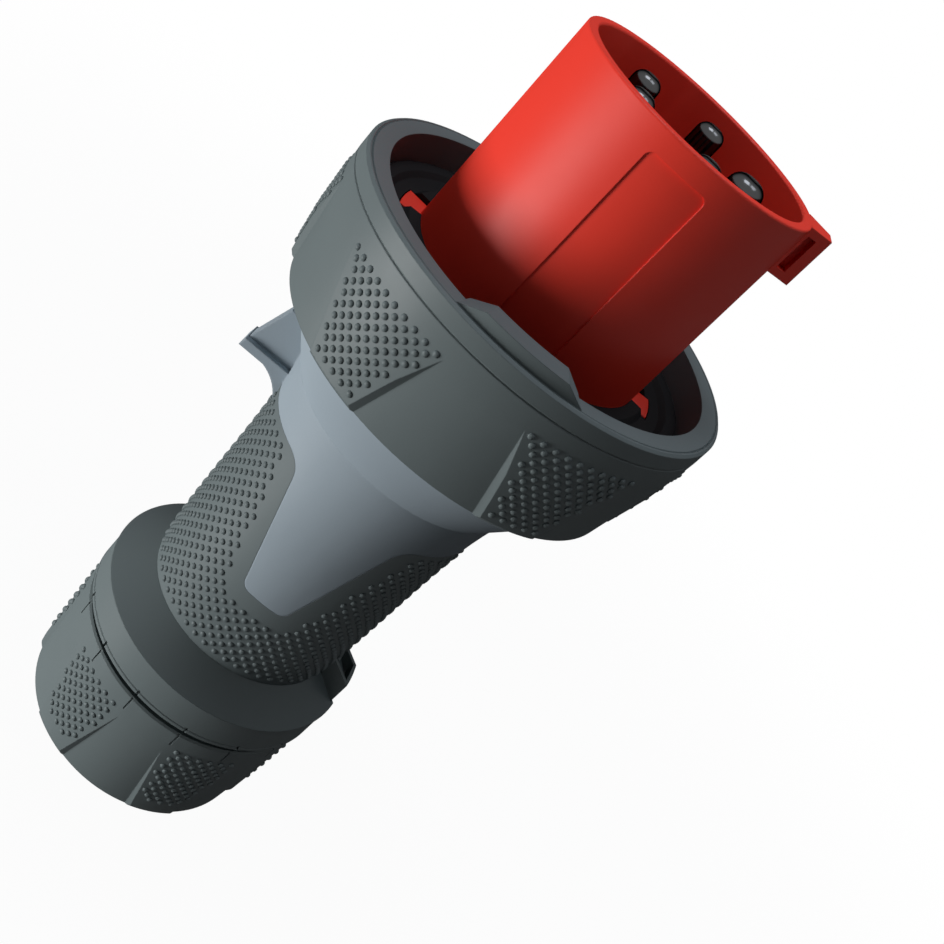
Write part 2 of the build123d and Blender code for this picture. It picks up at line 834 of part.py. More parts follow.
# Latch lever, its pivot pin and the torsion spring on the pin
latch_front = latch_rear + latch_length
spring_radius = pivot_radius + running_gap + spring_wire
spring_room = spring_radius + spring_wire + running_gap
with BuildPart() as latch_lever:
    with BuildSketch(Plane.YZ) as latch_profile:
        with BuildLine():
            Polyline(
                (-latch_floor, latch_rear),
                (-latch_top, latch_rear),
                (-latch_top, latch_rear + latch_top_length),
                (-latch_brow, latch_front - latch_brow_inset),
                (-latch_lip, latch_front - latch_lip_inset),
                (-latch_floor, latch_front),
                close=True,
            )
        make_face()
    extrude(amount=latch_width / 2, both=True)
    sides = latch_lever.faces().sort_by(Axis.X)
    for side in (sides[0], sides[-1]):
        chamfer(side.edges().sort_by(Axis.Y)[:3], length=latch_edge)
    with BuildSketch(Plane.YZ) as slot_profile:
        with BuildLine():
            Polyline(
                (past - latch_floor, latch_rear - past),
                (-pivot_height - spring_room, latch_rear - past),
                (-pivot_height - spring_room, pivot_z + spring_room),
                (past - latch_floor, pivot_z + spring_room),
                close=True,
            )
        make_face()
    extrude(slot_profile.sketch, amount=spring_slot / 2, both=True, mode=Mode.SUBTRACT)
    with BuildSketch(pivot_plane):
        Circle(pivot_radius + push_fit)
    extrude(amount=latch_width, both=True, mode=Mode.SUBTRACT)
latch_lever.part.label = "latch_lever"
export_step(latch_lever.part, "parts/latch_lever.step")

with BuildPart() as latch_pin:
    with BuildSketch(pivot_plane):
        Circle(pivot_radius)
    extrude(amount=pivot_length / 2, both=True)
latch_pin.part.label = "latch_pin"
export_step(latch_pin.part, "parts/latch_pin.step")

with BuildPart() as latch_spring:
    spring_start = running_gap + spring_wire - spring_slot / 2
    spring_pitch = -2 * spring_start / spring_turns
    with BuildLine() as coil:
        Helix(
            pitch=spring_pitch,
            height=spring_pitch * spring_turns,
            radius=spring_radius,
            center=(spring_start, -pivot_height, pivot_z),
            direction=(1, 0, 0),
        )
    with BuildSketch(Plane(origin=coil.line @ 0, z_dir=coil.line % 0)):
        Circle(spring_wire)
    sweep()
latch_spring.part.label = "latch_spring"
export_step(latch_spring.part, "parts/latch_spring.step")

# Cable seal, clamping cage and thrust ring inside the gland
with BuildPart() as cable_seal:
    turn(
        [
            (seal_bore, seal_rear),
            (gland_bore - push_fit, seal_rear),
            (gland_bore - push_fit, collar_rear),
            (seal_bore, collar_rear),
        ]
    )
    for index in range(seal_groove_count):
        middle = seal_rear + seal_length * (index + 1) / (seal_groove_count + 1)
        tube(gland_bore - seal_groove_depth, gland_bore + past, middle - seal_groove_depth / 2,
             middle + seal_groove_depth / 2, Mode.SUBTRACT)
cable_seal.part.label = "cable_seal"
export_step(cable_seal.part, "parts/cable_seal.step")

cage_rear = seal_rear - cage_length
with BuildPart() as clamp_cage:
    turn(
        [
            (cage_bore, cage_rear),
            (gland_bore - cage_nose, cage_rear),
            (gland_bore - push_fit, cage_rear + cage_nose_length),
            (gland_bore - push_fit, seal_rear),
            (cage_bore, seal_rear),
        ]
    )
    with BuildSketch(Plane.XY.offset(cage_rear)):
        with PolarLocations(gland_bore, cage_slot_count):
            Rectangle(gland_bore, cage_slot_width)
    extrude(amount=cage_slot_length, mode=Mode.SUBTRACT)
clamp_cage.part.label = "clamp_cage"
export_step(clamp_cage.part, "parts/clamp_cage.step")

thrust_rear = cage_rear - thrust_ring_length - running_gap
with BuildPart() as thrust_ring:
    turn(
        [
            (cable_bore + running_gap, thrust_rear),
            (thrust_ring_radius, thrust_rear),
            (thrust_ring_radius, thrust_rear + thrust_flange),
            (gland_bore - thrust_nose_gap, thrust_rear + thrust_flange),
            (gland_bore - thrust_nose_gap, thrust_rear + thrust_ring_length),
            (cable_bore + running_gap, thrust_rear + thrust_ring_length),
        ]
    )
thrust_ring.part.label = "thrust_ring"
export_step(thrust_ring.part, "parts/thrust_ring.step")

# Gland nut: screws onto the collar's spigot and pushes the thrust ring forward
nut_scoop = make_scoop(
    nut_length - nut_scoop_inset,
    0,
    nut_front_radius,
    nut_rear_radius - nut_scoop_depth,
    nut_scoop_front_width,
    nut_scoop_rear_width,
)
with BuildPart() as gland_nut:
    turn(
        [
            (cable_bore, 0),
            (nut_rear_radius, 0),
            (nut_front_radius, nut_length - nut_front_edge),
            (nut_front_radius - nut_front_edge, nut_length),
            (spigot_radius + thread_fit, nut_length),
            (spigot_radius + thread_fit, nut_end_wall),
            (cable_bore, nut_end_wall),
        ]
    )
    outer_rim = gland_nut.edges().group_by(Axis.Z)[0].sort_by(SortBy.RADIUS)[-1]
    fillet(outer_rim, radius=nut_rear_round)
    with PolarLocations(0, scoop_count):
        add(nut_scoop, mode=Mode.SUBTRACT)
    with BuildSketch(Plane.XY.offset(nut_length)):
        with PolarLocations(nut_front_radius, notch_count, start_angle=notch_start):
            Rectangle(2 * tick_depth, tick_width)
    extrude(amount=-tick_length, mode=Mode.SUBTRACT)
gland_nut.part.label = "gland_nut"
export_step(gland_nut.part, "parts/gland_nut.step")
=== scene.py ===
# %% [markdown]
# This lesson dresses a power plug for a three-phase supply. The plug has a red shroud with five
# contacts, a dark locking ring, a light housing with a soft grip, and a nut that holds the cable.
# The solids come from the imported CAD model, which fixes every size and place. Blender adds the
# finishes, the rounded edges, the raised dots and the light.

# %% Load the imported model
import json
from math import cos, pi, radians, sin

import bpy
from mathutils import Matrix, Vector


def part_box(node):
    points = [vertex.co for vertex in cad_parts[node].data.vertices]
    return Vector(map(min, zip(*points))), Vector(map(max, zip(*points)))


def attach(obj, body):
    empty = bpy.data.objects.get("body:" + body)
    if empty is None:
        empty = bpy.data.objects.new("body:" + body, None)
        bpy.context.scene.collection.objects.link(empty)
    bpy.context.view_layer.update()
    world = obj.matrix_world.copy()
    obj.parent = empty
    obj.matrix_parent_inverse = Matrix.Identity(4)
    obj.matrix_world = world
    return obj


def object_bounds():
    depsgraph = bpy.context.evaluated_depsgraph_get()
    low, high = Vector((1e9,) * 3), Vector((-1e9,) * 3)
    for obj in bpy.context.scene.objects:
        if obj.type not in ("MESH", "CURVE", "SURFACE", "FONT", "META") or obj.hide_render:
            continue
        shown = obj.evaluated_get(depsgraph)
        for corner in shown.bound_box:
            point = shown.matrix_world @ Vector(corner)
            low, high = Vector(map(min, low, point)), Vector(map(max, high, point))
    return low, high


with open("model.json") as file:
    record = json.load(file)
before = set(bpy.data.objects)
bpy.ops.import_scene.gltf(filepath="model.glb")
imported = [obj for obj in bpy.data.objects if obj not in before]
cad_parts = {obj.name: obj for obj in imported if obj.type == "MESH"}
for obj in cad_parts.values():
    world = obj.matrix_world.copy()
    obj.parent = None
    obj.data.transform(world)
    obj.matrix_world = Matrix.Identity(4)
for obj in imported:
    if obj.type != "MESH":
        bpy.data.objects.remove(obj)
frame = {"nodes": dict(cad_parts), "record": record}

cad_low, cad_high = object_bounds()
mm = 0.001
print("pieces", len(frame["nodes"]), "length", round((cad_high - cad_low).z / mm, 1), "mm")

# %% [markdown]
# The camera stands on the plug's left and a little in front of it, rolled so that the plug lies
# across the picture from the lower left to the upper right. A camera is a point and three axes.
# Writing the axes down keeps the roll, which a camera that merely looks at a target would lose.

# %% Place the camera
camera_point = Vector((-0.30223, 0.03711, 0.30068))
camera_right = Vector((0.19963, -0.75202, 0.62818))
camera_up = Vector((0.40223, 0.64747, 0.64730))
camera_back = camera_right.cross(camera_up)

scene = bpy.context.scene
camera_data = bpy.data.cameras.new("photo_camera")
camera_data.sensor_width = 36.0
camera_data.lens = 48.58
camera_data.shift_x = 0.01144
camera_data.shift_y = -0.0773
camera = bpy.data.objects.new("photo_camera", camera_data)
scene.collection.objects.link(camera)
turned = Matrix((camera_right, camera_up, camera_back)).transposed().to_4x4()
camera.matrix_world = Matrix.Translation(camera_point) @ turned
scene.camera = camera
print("camera stands", round(camera_point.length, 3), "m from the nut")

# %% [markdown]
# Every finish below is a small network of shader nodes. Typing such networks out is slow to read,
# so one class wraps a socket: Python's operators on it add Math nodes, and one method makes any
# other node. The same class serves the Geometry Nodes further down, whose trees work alike.

# %% Wrap a node tree's sockets
class Wire:
    """An output socket of a node, or a bare tree to start from."""

    def __init__(self, tree, socket=None):
        self.tree = tree
        self.socket = socket

    def node(self, kind, settings=None, inputs=None, output=0):
        """Add a node, with its settings first, then the values or wires of its inputs."""
        made = self.tree.nodes.new(kind)
        for name, value in (settings or {}).items():
            setattr(made, name, value)
        for name, value in (inputs or {}).items():
            if isinstance(value, Wire):
                self.tree.links.new(value.socket, made.inputs[name])
            else:
                made.inputs[name].default_value = value
        return Wire(self.tree, made.outputs[output]) if made.outputs else None

    def other(self, name):
        """Return another output of the same node."""
        return Wire(self.tree, self.socket.node.outputs[name])

    def math(self, operation, first, second=0.0):
        """Add one Math node."""
        return self.node("ShaderNodeMath", {"operation": operation}, {0: first, 1: second})

    def __add__(self, other):
        return self.math("ADD", self, other)

    __radd__ = __add__

    def __sub__(self, other):
        return self.math("SUBTRACT", self, other)

    def __rsub__(self, other):
        return self.math("SUBTRACT", other, self)

    def __mul__(self, other):
        return self.math("MULTIPLY", self, other)

    __rmul__ = __mul__

    def __truediv__(self, other):
        return self.math("DIVIDE", self, other)

    def __rtruediv__(self, other):
        return self.math("DIVIDE", other, self)

    def __mod__(self, other):
        return self.math("FLOORED_MODULO", self, other)

    def __gt__(self, other):
        return self.math("GREATER_THAN", self, other)

    def __lt__(self, other):
        return self.math("LESS_THAN", self, other)


print("operators ready:", "+ - * / % > <")

# %% [markdown]
# The sky is white where the camera, a mirror or glass sees it, which costs no extra light on the
# plug. For the light that it sends out it is nearly dark, so the plug's far side stays as dark as
# in the photograph. The Light Path node tells the two kinds of ray apart.

# %% Set the sky
sky_level = 0.04
sky_colour = (0.92, 0.96, 1.0, 1)
pure_white = (1, 1, 1, 1)


def seen_directly(start):
    """Return 1 where the camera, a mirror or glass sees the surface."""
    camera_ray = start.node("ShaderNodeLightPath", output="Is Camera Ray")
    clear = start.math("MAXIMUM", camera_ray, camera_ray.other("Is Transmission Ray"))
    return start.math("MAXIMUM", clear, camera_ray.other("Is Glossy Ray"))


def white_sky():
    """Make the world white where it is seen, and dim where it only lights."""
    world = bpy.data.worlds.new("studio_sky")
    world.use_nodes = True
    world.node_tree.nodes.clear()
    sky = Wire(world.node_tree)
    dim = sky.node("ShaderNodeBackground", inputs={"Color": sky_colour, "Strength": sky_level})
    white = sky.node("ShaderNodeBackground", inputs={"Color": pure_white, "Strength": 1.0})
    shown = sky.node("ShaderNodeMixShader", inputs={0: seen_directly(sky), 1: dim, 2: white})
    sky.node("ShaderNodeOutputWorld", inputs={"Surface": shown})
    return world


scene.view_settings.view_transform = "Standard"
scene.world = white_sky()
print("sky lights at", sky_level, "and shows at", 1.0)

# %% [markdown]
# The floor is a light table. It looks white as the sky does, and throws hardly any light back.
# Near the plug a small part of it is plain matt paint, which takes the shadow, and further out
# the paint fades to pure white. The table casts no shadow itself, so that a lamp can stand below
# its level, as the photograph's lamp does.

# %% Lay the floor
floor_size = 6.0
floor_bounce = 0.10
paint_grey = 0.9
paint_share = 0.04
shadow_reach = 0.55


def floor_finish():
    """Make a floor that glows white where it is seen, with matt paint for the shadow."""
    material = bpy.data.materials.new("studio_floor")
    material.use_nodes = True
    material.node_tree.nodes.clear()
    paint = Wire(material.node_tree)
    place = paint.node("ShaderNodeTexCoord", output="Object")
    away = paint.node("ShaderNodeVectorMath", {"operation": "LENGTH"}, {0: place}, output="Value")
    near = paint.node("ShaderNodeMapRange", {"interpolation_type": "SMOOTHSTEP"},
                      {"Value": away, "From Min": shadow_reach / 3, "From Max": shadow_reach,
                       "To Min": paint_share, "To Max": 0.0})
    matt = paint.node("ShaderNodeBsdfDiffuse",
                      inputs={"Color": (paint_grey, paint_grey, paint_grey, 1)})
    glow = paint.node("ShaderNodeEmission", inputs={"Color": pure_white, "Strength": 1.0})
    seen = paint.node("ShaderNodeMixShader", inputs={0: near, 1: glow, 2: matt})
    bounce = paint.node("ShaderNodeBsdfDiffuse",
                        inputs={"Color": (floor_bounce, floor_bounce, floor_bounce, 1)})
    shown = paint.node("ShaderNodeMixShader",
                       inputs={0: seen_directly(paint), 1: bounce, 2: seen})
    paint.node("ShaderNodeOutputMaterial", inputs={"Surface": shown})
    return material


half = floor_size / 2
floor_mesh = bpy.data.meshes.new("studio_floor")
corners = [(-half, -half, 0), (half, -half, 0), (half, half, 0), (-half, half, 0)]
floor_mesh.from_pydata(corners, [], [(0, 1, 2, 3)])
floor = bpy.data.objects.new("studio_floor", floor_mesh)
floor.location.z = cad_low.z
scene.collection.objects.link(floor)
floor.data.materials.append(floor_finish())
floor.visible_shadow = False
print("floor", floor_size, "m across at height", round(cad_low.z, 4))

# %% [markdown]
# In the photograph the ring shades the shroud, faces that look forwards are dark, and the cone
# that faces the cable is bright. The light therefore comes from the side and a little from the
# cable's end, which is below the table here. One soft lamp there does nearly all the work. Two
# weak lamps in front give the ring's face and the rims their even grey and hardly reach the sides.

# %% Set the lamps
lamp_target = Vector((0, 0, 0.125))
neutral_white = (1, 1, 1)
cool_white = (0.88, 0.92, 1.0)


def lamp(name, bearing, reach, height, size, power, colour):
    """Stand a soft lamp at a bearing in degrees round the plug, turned towards its middle."""
    data = bpy.data.lights.new(name, "AREA")
    data.shape = "RECTANGLE"
    data.size, data.size_y = size
    data.energy = power
    data.color = colour
    item = bpy.data.objects.new(name, data)
    item.location = (reach * cos(radians(bearing)), reach * sin(radians(bearing)), height)
    item.rotation_mode = "QUATERNION"
    item.rotation_quaternion = (lamp_target - item.location).to_track_quat("-Z", "Y")
    scene.collection.objects.link(item)
    return item


lamp("key_lamp", 117, 0.70, -0.15, (0.42, 0.36), 6.4, neutral_white)
lamp("front_lamp", 88, 0.16, 0.88, (0.28, 0.28), 2.1, cool_white)
lamp("fill_lamp", 260, 0.20, 0.88, (0.26, 0.26), 1.0, cool_white)

# %% [markdown]
# Moulded plastic is never quite even. The mould leaves a fine spark-eroded grain, the colour
# drifts by a few percent, and handling rubs the surface in patches, which shows as changes of
# gloss. The grain also breaks up the glare that a smooth plastic shows at a flat angle, so the
# body is a fully matt colour, and a film with a share of one or two percent carries the soft
# sheen. One function makes all of the plug's plastics, because they differ only in colour and
# strength. The patterns use Object coordinates, in metres, so they have the same real scale on
# every piece. The Bevel node bends the light at the sharp edges of the CAD model, as the small
# roundings of a moulding do.

# %% Finish of the moulded plastics
drift_scale = 35.0
rub_scale = 120.0
grain_scale = 2400.0
grain_strength = 0.12
grain_depth = 0.1 * mm
drift_share = 0.7
gloss_swing = 0.14


def start_material(name):
    """Return a new material and a wire to build its network on."""
    material = bpy.data.materials.new(name)
    material.use_nodes = True
    material.node_tree.nodes.clear()
    return material, Wire(material.node_tree)


def noise(paint, place, scale, detail=2.0, rough=0.5):
    """Return a noise pattern with a number of spots to the metre."""
    return paint.node("ShaderNodeTexNoise",
                      inputs={"Vector": place, "Scale": scale, "Detail": detail,
                              "Roughness": rough})


def blend(paint, share, first, second):
    """Mix two colours by a share."""
    return paint.node("ShaderNodeMix", {"data_type": "RGBA"}, {0: share, 6: first, 7: second},
                      output=2)


def moulded(name, deep, bright, rough, film=0.017, edge=0.35):
    """A moulded plastic: two close colours, roughness, share of film, and edge in mm."""
    material, paint = start_material(name)
    place = paint.node("ShaderNodeTexCoord", output="Object")
    drift = noise(paint, place, drift_scale, 3.0)
    rubbed = noise(paint, place, rub_scale, 4.0, 0.6)
    speck = noise(paint, place, grain_scale, 2.0)
    colour = blend(paint, drift * drift_share + speck * (1 - drift_share), (*deep, 1),
                   (*bright, 1))
    gloss = rubbed * gloss_swing + (rough - gloss_swing / 2)
    rounded = paint.node("ShaderNodeBevel", {"samples": 4}, {"Radius": edge * mm})
    bump = paint.node("ShaderNodeBump",
                      inputs={"Strength": grain_strength, "Distance": grain_depth,
                              "Height": speck, "Normal": rounded})
    body = paint.node("ShaderNodeBsdfPrincipled",
                      inputs={"Base Color": colour, "Roughness": gloss, "Normal": bump,
                              "Specular IOR Level": 0.0})
    sheen = paint.node("ShaderNodeBsdfPrincipled",
                       inputs={"Base Color": pure_white, "Metallic": 1.0, "Roughness": gloss,
                               "Normal": bump})
    shader = paint.node("ShaderNodeMixShader", inputs={0: film, 1: body, 2: sheen})
    paint.node("ShaderNodeOutputMaterial", inputs={"Surface": shader})
    return material


finishes = {
    "red_moulding": moulded("red_moulding", (0.80, 0.036, 0.018), (0.90, 0.046, 0.024), 0.46,
                            film=0.026),
    "dark_moulding": moulded("dark_moulding", (0.112, 0.137, 0.140), (0.136, 0.164, 0.167), 0.42),
    "light_moulding": moulded("light_moulding", (0.265, 0.315, 0.355), (0.31, 0.365, 0.405), 0.42,
                              edge=0.7),
    "soft_touch": moulded("soft_touch", (0.108, 0.132, 0.135), (0.132, 0.158, 0.162), 0.46),
    "black_rubber": moulded("black_rubber", (0.010, 0.010, 0.011), (0.018, 0.018, 0.019), 0.60,
                            film=0.006),
    "inner_plastic": moulded("inner_plastic", (0.08, 0.085, 0.09), (0.11, 0.115, 0.12), 0.50),
}
print("plastics", sorted(finishes))

# %% [markdown]
# The contacts are turned brass with dark nickel plate. Turning leaves rings round the pin that
# are too fine to see one by one and only stretch the highlight, and plugging in leaves faint
# scratches along it. The rings are a bump that repeats along the pin, the scratches are noise that
# is squeezed across the pin and stretched along it.

# %% Finish of the metals
cloud_scale = 160.0
scratch_scale = 1800.0
scratch_stretch = (1.0, 1.0, 0.04)
scratch_swing = 0.12
cloud_swing = 0.06
ring_strength = 0.10
ring_depth = 0.02 * mm
rim_tint = (0.2, 0.2, 0.2, 1)


def plated(name, deep, bright, rough, ring_pitch):
    """A plated metal with fine turning rings and a few long scratches."""
    material, paint = start_material(name)
    place = paint.node("ShaderNodeTexCoord", output="Object")
    height = paint.node("ShaderNodeSeparateXYZ", inputs={"Vector": place}, output="Z")
    rings = paint.math("SINE", height * (2 * pi / ring_pitch))
    long_way = paint.node("ShaderNodeMapping", {"vector_type": "POINT"},
                          {"Vector": place, "Scale": scratch_stretch})
    scratch = noise(paint, long_way, scratch_scale, 3.0, 0.7)
    cloud = noise(paint, place, cloud_scale, 3.0)
    colour = blend(paint, cloud, (*deep, 1), (*bright, 1))
    middle = rough - (scratch_swing + cloud_swing) / 2
    gloss = scratch * scratch_swing + cloud * cloud_swing + middle
    bump = paint.node("ShaderNodeBump",
                      inputs={"Strength": ring_strength, "Distance": ring_depth,
                              "Height": rings * 0.5 + scratch})
    shader = paint.node("ShaderNodeBsdfPrincipled",
                        inputs={"Base Color": colour, "Metallic": 1.0, "Roughness": gloss,
                                "Specular Tint": rim_tint, "Normal": bump})
    paint.node("ShaderNodeOutputMaterial", inputs={"Surface": shader})
    return material


finishes["contact_metal"] = plated("contact_metal", (0.045, 0.046, 0.048), (0.075, 0.076, 0.078),
                                   0.18, 0.25 * mm)
finishes["plated_steel"] = plated("plated_steel", (0.42, 0.43, 0.44), (0.60, 0.61, 0.62),
                                  0.34, 0.4 * mm)
for row in frame["record"]["subparts"]:
    for place in frame["nodes"][row["node"]].material_slots:
        place.material = finishes[row["material_slot"]]
print("finishes", sorted(finishes))

# %% [markdown]
# A CAD model arrives as loose triangles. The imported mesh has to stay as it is, so modifiers do
# the work: Weld joins the triangles, and a small node tree shades them smooth, except where two
# faces meet at a real edge.

# %% Join and smooth the CAD pieces
sharp_angle = radians(12.0)
weld_distance = 0.001 * mm


def tree_with_inputs(name, inputs):
    """Make a Geometry Nodes tree with named inputs, and return the wire of its entry."""
    tree = bpy.data.node_groups.new(name, "GeometryNodeTree")
    tree.interface.new_socket("Geometry", in_out="INPUT", socket_type="NodeSocketGeometry")
    for kind, labels in inputs.items():
        for label in labels:
            tree.interface.new_socket(label, in_out="INPUT", socket_type=kind)
    tree.interface.new_socket("Geometry", in_out="OUTPUT", socket_type="NodeSocketGeometry")
    return Wire(tree).node("NodeGroupInput")


def smooth_tree():
    """Build the tree that shades faces smooth, except across sharp edges."""
    entry = tree_with_inputs("smooth_by_angle", {"NodeSocketFloat": ("Angle",)})
    folded = entry.node("GeometryNodeInputMeshEdgeAngle") > entry.other("Angle")
    creased = entry.node("GeometryNodeSetShadeSmooth", {"domain": "EDGE"},
                         {"Geometry": entry, "Selection": folded, "Shade Smooth": False})
    smooth = entry.node("GeometryNodeSetShadeSmooth", {"domain": "FACE"},
                        {"Geometry": creased, "Shade Smooth": True})
    entry.node("NodeGroupOutput", inputs={"Geometry": smooth})
    return entry.tree


def set_input(modifier, name, value):
    """Set a node modifier's input by its socket's identifier."""
    for item in modifier.node_group.interface.items_tree:
        if item.item_type == "SOCKET" and item.in_out == "INPUT" and item.name == name:
            modifier[item.identifier] = value


smooth_shading = smooth_tree()
for piece in frame["nodes"].values():
    weld = piece.modifiers.new("join_triangles", "WELD")
    weld.merge_threshold = weld_distance
    shade = piece.modifiers.new("smooth_shading", "NODES")
    shade.node_group = smooth_shading
    set_input(shade, "Angle", sharp_angle)
print("smoothed", len(frame["nodes"]), "pieces")

# %% [markdown]
# Raised dots cover the grip and the pads of the ring and the nut, in rows that are shifted by
# half a step. Placing thousands of dots by hand is hopeless, and copying them along a formula of
# the surface breaks when the surface changes. Geometry Nodes can shoot a ray at the real surface
# for each dot instead, and stand a small dome where the ray lands. The tree is built in steps:
# first its inputs and the numbers that say where each dot aims.

# %% Number the dots by pad, row and column
angle_slack = 0.0005
dot_inputs = {
    "NodeSocketObject": ("Surface",),
    "NodeSocketMaterial": ("Finish",),
    "NodeSocketInt": ("Pads", "Columns", "Rows"),
    "NodeSocketFloat": ("First Angle", "Pitch Angle", "Row Pitch", "First Row", "Half Range",
                        "Narrowing", "Full Behind", "Start Radius", "Dot Radius", "Dot Height",
                        "Sink", "Margin"),
}


def number_dots(entry):
    """Return each dot's angle and height, and 1 where it lies inside its pad."""
    size = entry.other
    per_pad = size("Rows") * size("Columns")
    index = entry.node("GeometryNodeInputIndex")
    pad = entry.math("FLOOR", (index + 0.5) / per_pad)
    in_pad = index - pad * per_pad
    row = entry.math("FLOOR", (in_pad + 0.5) / size("Columns"))
    column = in_pad - row * size("Columns")
    shift = 0.5 - 0.5 * (row % 2.0)
    offset = (column - size("Columns") / 2.0 + shift) * size("Pitch Angle")
    angle = size("First Angle") + pad * (2 * pi / size("Pads")) + offset
    drop = row * size("Row Pitch")
    height = size("First Row") - drop
    reach = size("Half Range") - drop * size("Narrowing")
    behind = height < size("Full Behind")
    limit = reach * (1 - behind) + behind * (pi / size("Pads")) + angle_slack
    inside = (offset < limit) * (offset + limit > 2 * angle_slack)
    return angle, height, inside


print("dot tree has", sum(len(labels) for labels in dot_inputs.values()), "inputs")

# %% [markdown]
# A dot at the edge of a pad would hang half in the air. Each dot therefore sends five rays at the
# axis, one for itself and four a little beside it. Where one of the four misses, or lands clearly
# deeper or higher than the dot's own ray, an edge is near and the dot is left out.

# %% Shoot rays at the surface
ray_length = 12.0 * mm
most_step = 0.5 * mm


def shoot(entry, surface, angle, height):
    """Send a ray from outside straight at the axis, and return its hit."""
    x = entry.math("COSINE", angle)
    y = entry.math("SINE", angle)
    away = entry.other("Start Radius")
    start = entry.node("ShaderNodeCombineXYZ", inputs={"X": x * away, "Y": y * away, "Z": height})
    inward = entry.node("ShaderNodeCombineXYZ", inputs={"X": x * -1.0, "Y": y * -1.0})
    return entry.node("GeometryNodeRaycast", {"data_type": "FLOAT"},
                      {"Target Geometry": surface, "Source Position": start,
                       "Ray Direction": inward, "Ray Length": ray_length})


def land_dots(entry, angle, height, inside):
    """Return each dot's hit on the surface, and 1 where no edge is near."""
    surface = entry.node("GeometryNodeObjectInfo", {"transform_space": "ORIGINAL"},
                         {"Object": entry.other("Surface")}, output="Geometry")
    centre = shoot(entry, surface, angle, height)
    kept = inside * centre
    margin = entry.other("Margin")
    side = margin / entry.other("Start Radius")
    for turn, rise in ((side, 0.0), (side * -1.0, 0.0), (0.0, margin), (0.0, margin * -1.0)):
        edge = shoot(entry, surface, angle + turn, height + rise)
        step = entry.math("ABSOLUTE", edge.other("Hit Distance") - centre.other("Hit Distance"))
        kept = kept * edge * (step < most_step)
    return centre, kept


print("rays reach", round(ray_length / mm, 1), "mm")

# %% [markdown]
# A dome could be half a UV sphere, but a cone has far fewer faces and is open to bending: its
# straight flank is moved onto a quarter of a circle, ring by ring. A dozen corners round and three
# rings up are enough at this size.

# %% Bend a cone into a dome
dome_sides = 12
dome_rings = 3
tip_guard = 0.001


def dome(entry):
    """Return a small dome of the size that the inputs give."""
    cone = entry.node("GeometryNodeMeshCone", {"fill_type": "NGON"},
                      {"Vertices": dome_sides, "Side Segments": dome_rings, "Radius Top": 0.0,
                       "Radius Bottom": 1.0, "Depth": 1.0}, output="Mesh")
    corner = entry.node("ShaderNodeSeparateXYZ",
                        inputs={"Vector": entry.node("GeometryNodeInputPosition")}, output="X")
    rise = corner.other("Z")
    swell = entry.math("COSINE", rise * (pi / 2)) / entry.math("MAXIMUM", 1 - rise, tip_guard)
    swell = swell * entry.other("Dot Radius")
    level = entry.math("SINE", rise * (pi / 2)) * entry.other("Dot Height") - entry.other("Sink")
    bent = entry.node("ShaderNodeCombineXYZ",
                      inputs={"X": corner * swell, "Y": corner.other("Y") * swell, "Z": level})
    return entry.node("GeometryNodeSetPosition", inputs={"Geometry": cone, "Position": bent})


dome_corners = dome_sides * dome_rings + 1
print("a dome has", dome_corners, "corners")

# %% [markdown]
# The last step moves a cloud of points to where the rays landed and puts a dome on each, upright
# on the surface. The surface's direction is captured before the points move, because it would be
# worked out anew, and wrongly, after some of them are deleted.

# %% Put the dot tree together
def dot_tree():
    """Build the tree that stands a dome where each dot's ray lands."""
    entry = tree_with_inputs("raised_dots", dot_inputs)
    angle, height, inside = number_dots(entry)
    centre, kept = land_dots(entry, angle, height, inside)
    count = entry.other("Pads") * (entry.other("Rows") * entry.other("Columns"))
    points = entry.node("GeometryNodePoints", inputs={"Count": count})
    upright = entry.node("FunctionNodeAlignRotationToVector", {"axis": "Z"},
                         {"Vector": centre.other("Hit Normal")})
    stored = entry.node("GeometryNodeCaptureAttribute")
    stored.socket.node.capture_items.new("ROTATION", "Upright")
    entry.tree.links.new(points.socket, stored.socket.node.inputs["Geometry"])
    entry.tree.links.new(upright.socket, stored.socket.node.inputs["Upright"])
    placed = entry.node("GeometryNodeSetPosition",
                        inputs={"Geometry": stored, "Position": centre.other("Hit Position"),
                                "Selection": kept})
    chosen = entry.node("GeometryNodeDeleteGeometry", {"domain": "POINT"},
                        {"Geometry": placed, "Selection": 1 - kept})
    copies = entry.node("GeometryNodeInstanceOnPoints",
                        inputs={"Points": chosen, "Instance": dome(entry),
                                "Rotation": stored.other("Upright")})
    real = entry.node("GeometryNodeRealizeInstances", inputs={"Geometry": copies})
    smooth = entry.node("GeometryNodeSetShadeSmooth", {"domain": "FACE"},
                        {"Geometry": real, "Shade Smooth": True})
    finished = entry.node("GeometryNodeSetMaterial",
                          inputs={"Geometry": smooth, "Material": entry.other("Finish")})
    entry.node("NodeGroupOutput", inputs={"Geometry": finished})
    return entry.tree


raised_dots = dot_tree()
print("dot tree has", len(raised_dots.nodes), "nodes")

# %% [markdown]
# The tree runs as a modifier on an empty helper. Its result becomes a plain mesh that rides with
# the piece below it, so the dots turn with the ring and the nut. Each pad narrows towards the
# cable, and the grip's field widens instead and closes round the handle behind the tongues.

# %% Stand the dots on the ring, the nut and the grip
dot_size = {"Dot Radius": 0.95 * mm, "Dot Height": 0.78 * mm, "Sink": 0.15 * mm}
pad_angle = radians(30.0)
nowhere = -1.0


def real_mesh(name, helper):
    """Turn what the modifiers of a helper object give into a plain mesh object."""
    bpy.context.view_layer.update()
    graph = bpy.context.evaluated_depsgraph_get()
    mesh = bpy.data.meshes.new_from_object(helper.evaluated_get(graph))
    mesh.name = name
    bpy.data.objects.remove(helper)
    piece = bpy.data.objects.new(name, mesh)
    scene.collection.objects.link(piece)
    return piece


